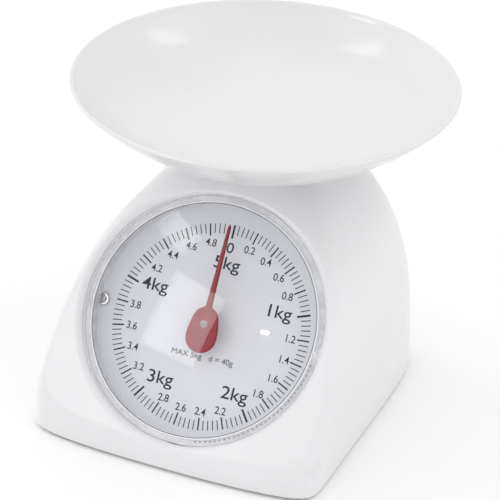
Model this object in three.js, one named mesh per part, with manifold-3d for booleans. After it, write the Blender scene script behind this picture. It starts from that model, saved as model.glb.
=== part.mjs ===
// Mechanical kitchen scale with a sloping round dial and a lift-off bowl.
// Millimetres, +Z up, the dial faces -Y. The origin is under the middle of the whole scale,
// on the surface that it stands on.
//
// How it works: the bowl sits on a platform on top of a carriage. Two pairs of parallel links keep
// the carriage upright while it sinks against two compression springs. A rack on the carriage turns
// the pinion arbor, and with it the pointer. A thumbwheel at the back raises or lowers the spring
// seat, which sets the pointer to zero.
import * as THREE from "three";
import { ParametricGeometry } from "three/addons/geometries/ParametricGeometry.js";
import { mergeVertices } from "three/addons/utils/BufferGeometryUtils.js";
import Module from "manifold-3d";

const wasm = await Module();
wasm.setup();

// ---------------------------------------------------------------- driving dimensions
const GAP = 0.3; // between pieces that touch
const WALL = 2.5; // housing wall

const TRAVEL = 10; // how far a full load sinks the platform
const TILT = THREE.MathUtils.degToRad(36); // the dial leans back this far from upright

// Housing: sections are rounded rectangles that shrink towards the top.
const BODY = {
  bottom: 1.4,
  top: 137.5,
  crown: 155.3, // height at which the side curves would close
  halfWidth: 83.2,
  front: -113,
  middle: 1,
  back: 72,
};
// Dial: centre on the card's face, and heights above it along its normal.
const DIAL = { y: -55.3, z: 58.9, ringOffset: 1.9, cardRadius: 67, cardThickness: 1 };
const FACE_HEIGHT = 17.6; // the housing's front face above the card
const WELL_RADIUS = 68;
const LENS = { outer: 67.6, inner: 64.6, foot: 3.6, shoulder: 12.8, apex: 22, thickness: 1.8 };
const DIAL_SCREW_X = 63.8;
const RING_SIDES = 40; // facets of the dial's opening, lens and card

// Moving carriage under the bowl.
const CARRIAGE = { y: 8, depth: 8, railX: 20.5, railWidth: 6, bottom: 26, head: 112 };
const POST_RADIUS = 10;
const LINK = { length: 33, drop: TRAVEL / 2, upperZ: 92, lowerZ: 38, x: 25, pin: 1.5 };
const LINK_REAR_Y = CARRIAGE.y + Math.sqrt(LINK.length ** 2 - LINK.drop ** 2);

const PLATFORM = { y: 8, radius: 57, top: 151.4, thickness: 3.2, hub: 13.2 };
const POST_TOP = PLATFORM.top - PLATFORM.thickness - GAP;
const BOWL = { radius: 105, rim: 179.2, foot: 149.7, footRadius: 64, floor: 153.9, wall: 2.8 };

const SPRING = { x: 35, y: PLATFORM.y, radius: 7, wire: 0.8, turns: 9.5, bottom: 14.4, top: 66.6 };
const WHEEL = { y: 53.1, radius: 21, bottom: 20, thickness: 7, screw: 2 };
const FRAME = { y: 57.1, sheet: 1.6, halfWidth: 34, bottom: 5, top: 95, screwX: 26, screwY: 41 };

// Pinion and rack: one turn of the pinion for the whole travel.
const PINION_TEETH = 8;
const PITCH_RADIUS = (TRAVEL * Math.cos(TILT)) / (2 * Math.PI);
const TOOTH_PITCH = (2 * Math.PI * PITCH_RADIUS) / PINION_TEETH;
const ADDENDUM = 0.28;
const DEDENDUM = 0.4;
const RACK_DEPTH = 42; // the rack's middle plane behind the card, at rest
const RACK_SCREW = { x: 9, z: 73.5 };
const ARBOR_RADIUS = 1.2;
// The pointer's blade and hub stand on a sleeve, 9.5 mm above the card. Its lean is in degrees.
const POINTER = { tip: 54.5, hub: 8.7, hubY: -7.1, bottom: 9.5, blade: 1.5, sleeve: 3, lean: 0.8 };

// ---------------------------------------------------------------- materials
const plastic = (color, roughness) => new THREE.MeshStandardMaterial({ color, roughness });
const metal = (color, roughness) =>
  new THREE.MeshStandardMaterial({ color, roughness, metalness: 1 });
const MATERIALS = {
  housing: plastic(0xeeeff3, 0.25),
  bowl: plastic(0xf0f0ef, 0.3),
  card: plastic(0xdde1ea, 0.45),
  pointer: plastic(0xa9243a, 0.35),
  lens: new THREE.MeshStandardMaterial({
    color: 0xf4f7fa,
    roughness: 0.03,
    transparent: true,
    opacity: 0.25,
  }),
  nylon: plastic(0xd8d8d2, 0.5),
  rubber: plastic(0x9a9a98, 0.9),
  steel: metal(0xb5b8bc, 0.35),
  spring: metal(0x9a9ea3, 0.3),
  brass: metal(0xc9a552, 0.3),
};

// ---------------------------------------------------------------- geometry helpers
// A closed manifold-3d solid with the shape of a three.js geometry.
function solid(geometry) {
  const bare = new THREE.BufferGeometry();
  bare.setAttribute("position", geometry.getAttribute("position"));
  bare.setIndex(geometry.index);
  const merged = mergeVertices(bare, 1e-4);
  const corners = Array.from(merged.index.array);
  const triVerts = [];
  for (let i = 0; i < corners.length; i += 3) {
    const [a, b, c] = corners.slice(i, i + 3);
    if (a !== b && b !== c && c !== a) triVerts.push(a, b, c);
  }
  const vertProperties = merged.getAttribute("position").array;
  const build = (order) =>
    new wasm.Manifold(
      new wasm.Mesh({ numProp: 3, vertProperties, triVerts: new Uint32Array(order) }),
    );
  const made = build(triVerts);
  return made.volume() > 0 ? made : build(triVerts.reverse());
}

function geometryOf(manifold) {
  const { vertProperties, triVerts } = manifold.getMesh();
  const geometry = new THREE.BufferGeometry();
  geometry.setAttribute("position", new THREE.BufferAttribute(vertProperties, 3));
  geometry.setIndex(new THREE.BufferAttribute(triVerts, 1));
  geometry.computeVertexNormals();
  return geometry;
}

function join(...solids) {
  return solids.reduce((whole, piece) => whole.add(piece));
}

function cut(whole, ...tools) {
  return tools.reduce((left, tool) => left.subtract(tool), whole);
}

// A box between two corners.
function box(x0, x1, y0, y1, z0, z1) {
  const geometry = new THREE.BoxGeometry(x1 - x0, y1 - y0, z1 - z0);
  return solid(geometry.translate((x0 + x1) / 2, (y0 + y1) / 2, (z0 + z1) / 2));
}

// An upright cylinder.
function cylinder(radius, z0, z1, x = 0, y = 0, sides = 20) {
  const geometry = new THREE.CylinderGeometry(radius, radius, z1 - z0, sides);
  return solid(geometry.rotateX(Math.PI / 2).translate(x, y, (z0 + z1) / 2));
}

// A cylinder along X.
function crossPin(radius, x0, x1, y, z, sides = 16) {
  const geometry = new THREE.CylinderGeometry(radius, radius, x1 - x0, sides);
  return solid(geometry.rotateZ(Math.PI / 2).translate((x0 + x1) / 2, y, z));
}

// A solid of revolution about Z from a closed outline of [radius, height] points.
function turned(outline, x = 0, y = 0, sides = 32) {
  const points = outline.map(([r, z]) => new THREE.Vector2(r, z));
  const geometry = new THREE.LatheGeometry(points, sides);
  return solid(geometry.rotateX(Math.PI / 2).translate(x, y, 0));
}

// A flat outline of [x, y] points, from z0 to z1.
function plate(points, z0, z1) {
  const shape = new THREE.Shape(points.map(([x, y]) => new THREE.Vector2(x, y)));
  const geometry = new THREE.ExtrudeGeometry(shape, { depth: z1 - z0, bevelEnabled: false });
  return solid(geometry.translate(0, 0, z0));
}

// The dial's own frame: x to the right, y up the card, z out of the card.
const dialFrame = new THREE.Matrix4().makeRotationX(Math.PI / 2 - TILT);
dialFrame.setPosition(0, DIAL.y, DIAL.z);
const onDial = (manifold) => solid(geometryOf(manifold).applyMatrix4(dialFrame));

// ---------------------------------------------------------------- housing
// The front corners of a section go from near square at the base to round at the top.
function bodyPoint(angle, z, inset) {
  const share = Math.max(0, (z - BODY.bottom) / (BODY.crown - BODY.bottom));
  const narrowing = 1 - share ** 3.26;
  const halfWidth = BODY.halfWidth * narrowing ** 0.843 - inset;
  const front = BODY.middle + (BODY.front - BODY.middle) * narrowing ** 1.81 + inset;
  const back = BODY.middle + (BODY.back - BODY.middle) * (1 - share ** 2.05) ** 0.3 - inset;
  const across = Math.cos(angle);
  const along = Math.sin(angle);
  const rear = along > 0;
  const exponentX = rear ? 4.8 : 2.1;
  const exponentY = rear ? 4.8 : 3.15 + 20.4 * (1 - share) ** 0.88;
  const depth = (back - front) / 2;
  return [
    halfWidth * Math.sign(across) * Math.abs(across) ** (2 / exponentX),
    (back + front) / 2 + depth * Math.sign(along) * Math.abs(along) ** (2 / exponentY),
  ];
}

// The lofted solid inside the housing's outline, drawn in by inset, between two heights.
function bodyLoft(inset, z0, z1, rings, sides) {
  const soften = 1.5;
  const stacks = rings + 3;
  const heights = [z0];
  for (let ring = 0; ring <= rings; ring++) {
    const share = 1 - (1 - ring / rings) ** 1.4;
    heights.push(z0 + (z1 - soften - z0) * share);
  }
  const geometry = new ParametricGeometry(
    (u, v, target) => {
      const level = Math.round(v * stacks);
      const angle = (u % 1) * 2 * Math.PI;
      if (level === 0 || level === stacks) {
        target.set(0, BODY.middle - 20 + (level ? 20 : 0), level ? z1 : z0);
        return;
      }
      const top = level === stacks - 1;
      const z = top ? z1 : heights[level];
      const [x, y] = bodyPoint(angle, top ? z1 - soften : z, inset + (top ? soften : 0));
      target.set(x, y, z);
    },
    sides,
    stacks,
  );
  return solid(geometry);
}

// Everything in front of a plane parallel to the card.
const inFrontOf = (height) =>
  onDial(box(-150, 150, -160, 160, height, height + 220));

const BOSSES = [-1, 1].flatMap((side) => [
  { name: side < 0 ? "left" : "right", end: "front", x: side * 71, y: -92 },
  { name: side < 0 ? "left" : "right", end: "rear", x: side * 71, y: 48 },
]);
const BOSS = { radius: 3.6, hole: 1.5, bottom: 4.1, top: 20 };

function dialWell(outside) {
  const ring = turned(
    [
      [57, -3.3],
      [WELL_RADIUS + 2, -3.3],
      [WELL_RADIUS + 2, FACE_HEIGHT - 1],
      [WELL_RADIUS, FACE_HEIGHT - 1],
      [WELL_RADIUS, -1.3],
      [57, -1.3],
      [57, -3.3],
    ],
    0,
    DIAL.ringOffset,
    RING_SIDES,
  );
  const holes = [-1, 1].map((side) => cylinder(1.6, -5, 1, side * DIAL_SCREW_X, 0, 12));
  const belowBase = box(-100, 100, -150, 100, -30, 5.2);
  return onDial(cut(ring, ...holes)).intersect(outside).subtract(belowBase);
}

// The hole for the lens flares into the face, so its edge looks soft.
function dialOpening() {
  const lip = 4.2;
  return onDial(
    turned(
      [
        [0, 0],
        [WELL_RADIUS, 0],
        [WELL_RADIUS, FACE_HEIGHT - lip],
        [WELL_RADIUS + 0.3 * lip, FACE_HEIGHT - 0.3 * lip],
        [WELL_RADIUS + lip, FACE_HEIGHT],
        [WELL_RADIUS + lip, FACE_HEIGHT + 4],
        [0, FACE_HEIGHT + 4],
      ],
      0,
      DIAL.ringOffset,
      RING_SIDES,
    ),
  );
}

function bodyShell() {
  const outside = bodyLoft(0, BODY.bottom, BODY.top, 9, 44).subtract(inFrontOf(FACE_HEIGHT));
  const inside = bodyLoft(WALL, BODY.bottom - 1, BODY.top - WALL, 5, 28).subtract(
    inFrontOf(FACE_HEIGHT - WALL),
  );
  const postHole = cylinder(17, 120, 150, 0, PLATFORM.y, 28);
  const slot = box(-16, 16, 60, 80, WHEEL.bottom - 1.5, WHEEL.bottom + WHEEL.thickness + 1.5);
  const bosses = BOSSES.map(({ x, y }) =>
    join(
      cylinder(BOSS.radius, BOSS.bottom, BOSS.top, x, y, 16),
      x < 0 ? box(-81, x, y - 1, y + 1, BOSS.bottom, BOSS.top)
        : box(x, 81, y - 1, y + 1, BOSS.bottom, BOSS.top),
    ).intersect(outside),
  );
  const pilotHoles = BOSSES.map(({ x, y }) => cylinder(BOSS.hole, 0, BOSS.top - 3, x, y, 12));
  const walls = cut(outside, inside, dialOpening(), postHole, slot);
  return cut(join(walls, dialWell(outside), ...bosses), ...pilotHoles);
}

const FEET = [-1, 1].flatMap((side) => [
  { name: side < 0 ? "left" : "right", end: "front", x: side * 58, y: -94 },
  { name: side < 0 ? "left" : "right", end: "rear", x: side * 58, y: 52 },
]);
const FOOT = { radius: 6.5, height: 1.3, stem: 1.8 };
const BASE = { bottom: 1.6, top: 3.8 };

function basePlate() {
  const outline = bodyLoft(WALL + 0.5, BASE.bottom, BASE.top + 1.5, 2, 28);
  const levelled = outline.intersect(box(-100, 100, -150, 100, BASE.bottom, BASE.top));
  const holes = [
    ...BOSSES.map(({ x, y }) => cylinder(BOSS.hole, 0, 6, x, y, 8)),
    ...FEET.map(({ x, y }) => cylinder(FOOT.stem + GAP, 0, 6, x, y, 10)),
    ...[-1, 1].map((side) => cylinder(1.5, 0, 6, side * FRAME.screwX, FRAME.screwY, 8)),
  ];
  return cut(levelled, ...holes);
}

function foot() {
  return turned(
    [
      [0, 0],
      [FOOT.radius - 0.6, 0],
      [FOOT.radius, 0.6],
      [FOOT.radius, FOOT.height],
      [FOOT.stem, FOOT.height],
      [FOOT.stem, BASE.top + GAP],
      [FOOT.stem + 0.9, BASE.top + GAP],
      [FOOT.stem, BASE.top + 1.4],
      [0, BASE.top + 1.4],
    ],
    0,
    0,
    20,
  );
}

// A screw standing on its head: the head's underside is at 0 and the shank points up.
function screw(headRadius, headHeight, shankRadius, length) {
  const slot = box(-headRadius, headRadius, -0.35, 0.35, -headHeight - 1, -headHeight + 0.45);
  const blank = turned(
    [
      [0, -headHeight],
      [headRadius * 0.75, -headHeight],
      [headRadius, -headHeight * 0.45],
      [headRadius, 0],
      [shankRadius, 0],
      [shankRadius, length - shankRadius],
      [0, length],
    ],
    0,
    0,
    10,
  );
  return cut(blank, slot);
}

// ---------------------------------------------------------------- dial, lens and pointer
function dialPlate() {
  const card = cylinder(DIAL.cardRadius, -DIAL.cardThickness, 0, 0, DIAL.ringOffset, RING_SIDES);
  const holes = [-1, 1].map((side) => cylinder(1.6, -5, 1, side * DIAL_SCREW_X, 0, 12));
  return cut(card, cylinder(2.2, -5, 1, 0, 0, 16), ...holes);
}

// A point on a shallow dome that is high at the middle and passes through the edge.
function domeHeight(radius, edgeRadius, edgeHeight, apex) {
  const sag = apex - edgeHeight;
  const curve = (edgeRadius ** 2 + sag ** 2) / (2 * sag);
  return apex - curve + Math.sqrt(curve ** 2 - radius ** 2);
}

function dialLens() {
  const edge = LENS.outer - 1;
  const radii = [edge, 50, 32, 14];
  const outside = radii.map((r) => [r, domeHeight(r, edge, LENS.shoulder + 1, LENS.apex)]);
  const innerApex = LENS.apex - LENS.thickness;
  const inside = [14, 32, 50, LENS.inner - 1].map((r) => [
    r,
    domeHeight(r, LENS.inner - 1, LENS.shoulder - 0.8, innerApex),
  ]);
  return turned(
    [
      [LENS.inner, LENS.foot],
      [LENS.outer, LENS.foot],
      [LENS.outer, LENS.shoulder],
      ...outside,
      [0, LENS.apex],
      [0, innerApex],
      ...inside,
      [LENS.inner, LENS.shoulder - 1.8],
      [LENS.inner, LENS.foot],
    ],
    0,
    DIAL.ringOffset,
    RING_SIDES,
  );
}

function pointer() {
  const { tip, hub, hubY, blade, bottom, sleeve, lean } = POINTER;
  const outline = new THREE.Shape();
  outline.moveTo(0.8, tip);
  outline.lineTo(1.7, 9.8);
  outline.bezierCurveTo(6, 8.4, 8, 3, hub, hubY);
  outline.absarc(0, hubY, hub, 0, -Math.PI, true);
  outline.bezierCurveTo(-8, 3, -6, 8.4, -1.7, 9.8);
  outline.lineTo(-0.8, tip);
  outline.closePath();
  const options = { depth: blade, bevelEnabled: false, curveSegments: 8 };
  const flat = solid(new THREE.ExtrudeGeometry(outline, options).translate(0, 0, bottom));
  const below = cylinder(sleeve, 4.5, bottom + 0.5, 0, 0, 16);
  const bore = cylinder(ARBOR_RADIUS + GAP, 0, bottom + blade + 1, 0, 0, 12);
  const upright = geometryOf(cut(join(flat, below), bore));
  return solid(upright.rotateZ(THREE.MathUtils.degToRad(lean)));
}

// ---------------------------------------------------------------- pointer movement
// The arbor with its pinion: a toothed core between two plain ends. The front end is flush with
// the pointer's hub.
function pinionArbor() {
  const root = PITCH_RADIUS - DEDENDUM;
  const tip = PITCH_RADIUS + ADDENDUM;
  const toothed = { from: -51, to: -39.5 };
  const core = join(
    cylinder(ARBOR_RADIUS, -61.5, toothed.from, 0, 0, 12),
    cylinder(root, toothed.from - 0.2, toothed.to + 0.2, 0, 0, 16),
    cylinder(ARBOR_RADIUS, toothed.to, POINTER.bottom + POINTER.blade, 0, 0, 12),
  );
  const leaf = plate(
    [
      [0.3, -0.16],
      [tip, -0.11],
      [tip, 0.11],
      [0.3, 0.16],
    ],
    toothed.from - 0.2,
    toothed.to + 0.2,
  );
  const leaves = [];
  for (let tooth = 0; tooth < PINION_TEETH; tooth++) {
    const turn = (tooth * 2 * Math.PI) / PINION_TEETH;
    leaves.push(solid(geometryOf(leaf).rotateZ(turn)));
  }
  return join(core, ...leaves);
}

// The rack's strip lies parallel to the card, with its teeth towards the arbor. Its upper end is
// bent up into a tab against the carriage.
function rack() {
  const tipX = PITCH_RADIUS - ADDENDUM;
  const rootX = PITCH_RADIUS + DEDENDUM;
  const strip = box(rootX, 6.5, -3, 41, -RACK_DEPTH - 1, -RACK_DEPTH + 1);
  const teeth = [];
  for (let tooth = -2; tooth < 10; tooth++) {
    const y = (tooth + 0.5) * TOOTH_PITCH;
    const outline = [
      [tipX, y - 0.08],
      [rootX + 0.1, y - 0.24],
      [rootX + 0.1, y + 0.24],
      [tipX, y + 0.08],
    ];
    teeth.push(plate(outline, -RACK_DEPTH - 1, -RACK_DEPTH + 1));
  }
  const front = CARRIAGE.y - CARRIAGE.depth / 2 - GAP;
  const tab = box(rootX, 12, front - 1.5, front, 60, 78);
  const rivetHole = rivetAlongY(1.5, front - 6, front + 1);
  const lean = onDial(join(strip, ...teeth)).subtract(box(-5, 20, front - 0.01, 20, 0, 100));
  return cut(join(lean, tab), rivetHole);
}

function rivetAlongY(radius, y0, y1) {
  const geometry = new THREE.CylinderGeometry(radius, radius, y1 - y0, 12);
  return solid(geometry.translate(RACK_SCREW.x, (y0 + y1) / 2, RACK_SCREW.z));
}

// The bracket that holds the arbor, in the dial's frame: a strap behind the card's ledge, two legs
// and a rear plate.
const BRACKET = { strapFront: -3.7, sheet: 1.5, legX: 16, halfHeight: 7, rear: -58 };

function movementBracket() {
  const { strapFront, sheet, legX, halfHeight, rear } = BRACKET;
  const strap = box(-68, 68, -halfHeight, halfHeight, strapFront - sheet, strapFront);
  const legs = [-1, 1].map((side) => {
    const inner = side * legX;
    const outer = side * (legX + sheet);
    return box(
      Math.min(inner, outer), Math.max(inner, outer),
      -halfHeight, halfHeight, rear - sheet, strapFront,
    );
  });
  const back = box(-legX - sheet, legX + sheet, -halfHeight, halfHeight, rear - sheet, rear);
  const bores = [
    cylinder(3.2 + GAP, strapFront - 3, strapFront + 1, 0, 0, 16),
    cylinder(3.2 + GAP, rear - 3, rear + 1, 0, 0, 16),
  ];
  const screws = [-1, 1].map((side) =>
    cylinder(1.6, strapFront - 3, strapFront + 1, side * DIAL_SCREW_X, 0, 12),
  );
  return cut(join(strap, ...legs, back), ...bores, ...screws);
}

// A flanged bush whose flange rests on a plate with its face at height z.
function bush(z) {
  const bore = ARBOR_RADIUS + 0.25;
  return turned(
    [
      [bore, z - 4],
      [3.2, z - 4],
      [3.2, z + GAP],
      [4.6, z + GAP],
      [4.6, z + 1.5],
      [bore, z + 1.5],
      [bore, z - 4],
    ],
    0,
    0,
    18,
  );
}

// ---------------------------------------------------------------- carriage, links and springs
function carriage() {
  const y0 = CARRIAGE.y - CARRIAGE.depth / 2;
  const y1 = y0 + CARRIAGE.depth;
  const outer = CARRIAGE.railX + CARRIAGE.railWidth / 2;
  const inner = outer - CARRIAGE.railWidth;
  const padX = SPRING.x + 9;
  const padBottom = SPRING.top + GAP;
  const bars = [
    box(-outer, outer, y0, y1, CARRIAGE.head - 8, CARRIAGE.head),
    box(-outer, outer, y0, y1, CARRIAGE.bottom, CARRIAGE.bottom + 6),
    box(-outer, outer, y0, y1, padBottom, padBottom + 12),
    box(-outer, -inner, y0, y1, CARRIAGE.bottom, CARRIAGE.head),
    box(inner, outer, y0, y1, CARRIAGE.bottom, CARRIAGE.head),
    box(-padX, padX, SPRING.y - 4, SPRING.y + 4, padBottom, padBottom + 5),
  ];
  const pads = [-1, 1].flatMap((side) => [
    cylinder(9, padBottom, padBottom + 3, side * SPRING.x, SPRING.y, 20),
    cylinder(5, padBottom - 6, padBottom, side * SPRING.x, SPRING.y, 16),
  ]);
  const post = cylinder(POST_RADIUS, CARRIAGE.head - 2, POST_TOP, 0, PLATFORM.y, 24);
  const pinHoles = [LINK.upperZ, LINK.lowerZ].map((z) =>
    crossPin(LINK.pin + 0.05, -30, 30, CARRIAGE.y, z, 16),
  );
  const screwHole = cylinder(2.2, 128, 150, 0, PLATFORM.y, 12);
  const tabHole = rivetAlongY(1.5, y0 - 1, y0 + 6.5);
  return cut(join(...bars, ...pads, post), ...pinHoles, screwHole, tabHole);
}

// A pressed arm of two side plates and a web. Its rear eyes turn on the frame's pin and its front
// eyes, which have play for the links' slight arc, take the carriage's pin.
function link(frontZ) {
  const rearZ = frontZ - LINK.drop;
  const sheet = 1.4;
  const slope = Math.atan2(LINK.drop, LINK_REAR_Y - CARRIAGE.y);
  const sides = [-1, 1].map((side) => {
    const arm = new THREE.Shape();
    arm.absarc(0, 0, 4.5, Math.PI / 2, (3 * Math.PI) / 2, false);
    arm.lineTo(LINK.length, -4.5);
    arm.absarc(LINK.length, 0, 4.5, -Math.PI / 2, Math.PI / 2, false);
    arm.closePath();
    const eye = (x, radius) => new THREE.Path().absarc(x, 0, radius, 0, 2 * Math.PI, true);
    arm.holes.push(eye(0, LINK.pin + 0.6), eye(LINK.length, LINK.pin + 0.15));
    const options = { depth: sheet, bevelEnabled: false, curveSegments: 8 };
    const geometry = new THREE.ExtrudeGeometry(arm, options);
    geometry.rotateX(Math.PI / 2).rotateZ(Math.PI / 2);
    geometry.rotateX(-slope);
    return solid(geometry.translate(side * LINK.x - sheet / 2, CARRIAGE.y, frontZ));
  });
  const web = new THREE.BoxGeometry(2 * LINK.x, 9, sheet);
  web.rotateX(-slope).translate(0, (CARRIAGE.y + LINK_REAR_Y) / 2 + 2, (frontZ + rearZ) / 2);
  return join(...sides, solid(web));
}

// A compression spring: a helix whose first and last turns lie almost flat.
class SpringCurve extends THREE.Curve {
  getPoint(t, target = new THREE.Vector3()) {
    const low = SPRING.bottom + SPRING.wire;
    const height = SPRING.top - SPRING.wire - low;
    const flat = 0.5 - 0.5 * Math.cos(Math.PI * t);
    const rise = 0.75 * t + 0.25 * flat;
    const angle = t * SPRING.turns * 2 * Math.PI;
    return target.set(
      SPRING.radius * Math.cos(angle),
      SPRING.radius * Math.sin(angle),
      low + height * rise,
    );
  }
}

function spring() {
  const section = new THREE.Shape();
  section.absarc(0, 0, SPRING.wire, 0, 2 * Math.PI, false);
  return solid(
    new THREE.ExtrudeGeometry(section, {
      steps: Math.round(SPRING.turns * 8),
      curveSegments: 3,
      extrudePath: new SpringCurve(),
    }),
  );
}

// The seat under the springs: a U-shaped plate whose bridge is the nut of the zero screw.
function springSeat() {
  const arm = 9;
  const back = WHEEL.y + 3;
  const plateSolid = join(
    box(-SPRING.x - arm, SPRING.x + arm, WHEEL.y - 5, back, 12, 14),
    ...[-1, 1].map((side) => {
      const x = side * SPRING.x;
      return join(
        box(x - 7, x + 7, SPRING.y, WHEEL.y, 12, 14),
        cylinder(arm, 12, 14, x, SPRING.y, 20),
        cylinder(5, 13, 19, x, SPRING.y, 16),
      );
    }),
    cylinder(3.6, 9.5, 13, 0, WHEEL.y, 12),
  );
  return cut(plateSolid, cylinder(WHEEL.screw + GAP, 5, 20, 0, WHEEL.y, 16));
}

// ---------------------------------------------------------------- zero setting
function zeroWheel() {
  const top = WHEEL.bottom + WHEEL.thickness;
  const disc = cylinder(WHEEL.radius - 0.6, WHEEL.bottom, top, 0, 0, 24);
  const ribs = [];
  const count = 24;
  for (let rib = 0; rib < count; rib++) {
    const angle = (rib * 2 * Math.PI) / count;
    const tooth = new THREE.BoxGeometry(2, 2.2, WHEEL.thickness);
    tooth.translate(WHEEL.radius - 1, 0, (WHEEL.bottom + top) / 2).rotateZ(angle);
    ribs.push(solid(tooth));
  }
  const screwHole = cylinder(WHEEL.screw + 0.02, 0, 40, 0, 0, 16);
  const wheel = cut(join(disc, ...ribs), screwHole);
  return solid(geometryOf(wheel).translate(0, WHEEL.y, 0));
}

function zeroScrew() {
  return turned(
    [
      [0, 4.6],
      [WHEEL.screw - 0.4, 4.6],
      [WHEEL.screw - 0.05, 5.4],
      [WHEEL.screw - 0.05, 33.4],
      [WHEEL.screw - 0.4, 34],
      [0, 34],
    ],
    0,
    WHEEL.y,
    16,
  );
}

// The pressed steel frame on the base: a back plate with a window for the thumbwheel, two cheeks
// for the links' rear pins, a foot and a shelf over the wheel.
function mainFrame() {
  const { y, sheet, halfWidth, bottom, top, screwX, screwY } = FRAME;
  const back = y + sheet;
  const cheek = LINK.x + 2.4;
  const shelfBottom = WHEEL.bottom + WHEEL.thickness + 2.5;
  const parts = [
    box(-halfWidth, halfWidth, y, back, bottom, top),
    box(-halfWidth, halfWidth, 36, back, bottom, bottom + sheet),
    box(-8, 8, WHEEL.y - 5, back, shelfBottom, shelfBottom + sheet),
    box(-cheek - sheet, -cheek, 35, back, 29, top),
    box(cheek, cheek + sheet, 35, back, 29, top),
  ];
  const window = box(-23, 23, y - 1, back + 1, WHEEL.bottom - 2, shelfBottom - 0.5);
  const relief = box(-16, 16, y - 1, back + 1, 44, 84);
  const screwHole = cylinder(WHEEL.screw + GAP, 4, 40, 0, WHEEL.y, 16);
  const pinHoles = [LINK.upperZ, LINK.lowerZ].map((z) =>
    crossPin(LINK.pin + 0.05, -40, 40, LINK_REAR_Y, z - LINK.drop, 16),
  );
  const bolts = [-1, 1].map((side) => cylinder(1.5, 0, 10, side * screwX, screwY, 12));
  return cut(join(...parts), window, relief, screwHole, ...pinHoles, ...bolts);
}

// ---------------------------------------------------------------- platform and bowl
function platform() {
  const { top, thickness, radius, hub } = PLATFORM;
  const under = top - thickness;
  const disc = turned(
    [
      [0, under],
      [radius - 1, under],
      [radius, under + 1],
      [radius, top - 1],
      [radius - 1, top],
      [0, top],
    ],
    0,
    PLATFORM.y,
    32,
  );
  const collar = cylinder(hub, under - 5.7, under + 0.5, 0, PLATFORM.y, 24);
  const socket = cylinder(POST_RADIUS + GAP, under - 10, under, 0, PLATFORM.y, 24);
  const recess = cylinder(4.6, top - 2, top + 1, 0, PLATFORM.y, 18);
  const hole = cylinder(2.2, under - 1, top, 0, PLATFORM.y, 12);
  return cut(join(disc, collar), socket, recess, hole);
}

// Height of the bowl's outer wall at a radius. Inside the foot it carries on as a straight slope.
function bowlOutside(radius) {
  const { footRadius, foot, rim } = BOWL;
  if (radius <= footRadius) return foot - 0.6 * (footRadius - radius);
  const out = (radius - footRadius) / (BOWL.radius - 1 - footRadius);
  const rise = rim - 1.6 - foot;
  return foot + rise * (1 - (1 - out ** 1.21) ** (1 / 1.21));
}

// Height of the bowl's inner face: the floor and the wall, blended into each other.
function bowlInside(radius) {
  const blend = 12;
  const wall = bowlOutside(radius) + BOWL.wall;
  const near = Math.max(blend - Math.abs(wall - BOWL.floor), 0) / blend;
  return Math.max(wall, BOWL.floor) + (near ** 2 * blend) / 4;
}

function bowl() {
  const { radius, rim, foot, footRadius, floor } = BOWL;
  const outside = [68, 74, 82, 91, 99].map((r) => [r, bowlOutside(r)]);
  const inside = [101, 94, 86, 78, 70, 63, 56, 51].map((r) => [r, bowlInside(r)]);
  return turned(
    [
      [0, floor - 2.2],
      [60, floor - 2.2],
      [60, foot],
      [footRadius - 0.8, foot],
      ...outside,
      [radius - 1, rim - 1.6],
      [radius, rim - 1.2],
      [radius, rim - 0.3],
      [radius - 0.6, rim],
      [radius - 2, rim],
      ...inside,
      [46, floor],
      [0, floor],
    ],
    0,
    PLATFORM.y,
    36,
  );
}

// ---------------------------------------------------------------- assembly
const scale = new THREE.Group();
const dialGroup = new THREE.Group();
dialGroup.applyMatrix4(dialFrame);
scale.add(dialGroup);

function add(name, manifold, material, parent = scale) {
  const mesh = new THREE.Mesh(geometryOf(manifold), MATERIALS[material]);
  mesh.name = name;
  parent.add(mesh);
  return mesh;
}

add("body_shell", bodyShell(), "housing");
add("base_plate", basePlate(), "housing");
for (const { name, end, x, y } of FEET) {
  add(`foot_${end}_${name}`, foot(), "rubber").position.set(x, y, 0);
}
for (const { name, end, x, y } of BOSSES) {
  const head = 0.85;
  add(`base_screw_${end}_${name}`, screw(2.8, head, 1.2, 13), "steel").position.set(
    x,
    y,
    BASE.bottom - GAP,
  );
}

add("dial_plate", dialPlate(), "card", dialGroup);
add("dial_lens", dialLens(), "lens", dialGroup);
for (const side of [-1, 1]) {
  const name = `dial_screw_${side < 0 ? "left" : "right"}`;
  const mesh = add(name, screw(3.8, 1.7, 1.25, 7.5), "steel", dialGroup);
  mesh.rotation.x = Math.PI;
  mesh.position.set(side * DIAL_SCREW_X, 0, GAP);
}
add("pointer", pointer(), "pointer", dialGroup);
add("pinion_arbor", pinionArbor(), "brass", dialGroup);
add("movement_bracket", movementBracket(), "steel", dialGroup);
add("front_bush", bush(BRACKET.strapFront), "brass", dialGroup);
add("rear_bush", bush(BRACKET.rear), "brass", dialGroup);

add("rack", rack(), "steel");
const rackScrew = add("rack_screw", screw(2.6, 1.4, 1.2, 7), "steel");
rackScrew.rotation.x = -Math.PI / 2;
rackScrew.position.set(
  RACK_SCREW.x,
  CARRIAGE.y - CARRIAGE.depth / 2 - 1.5 - 2 * GAP,
  RACK_SCREW.z,
);

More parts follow.
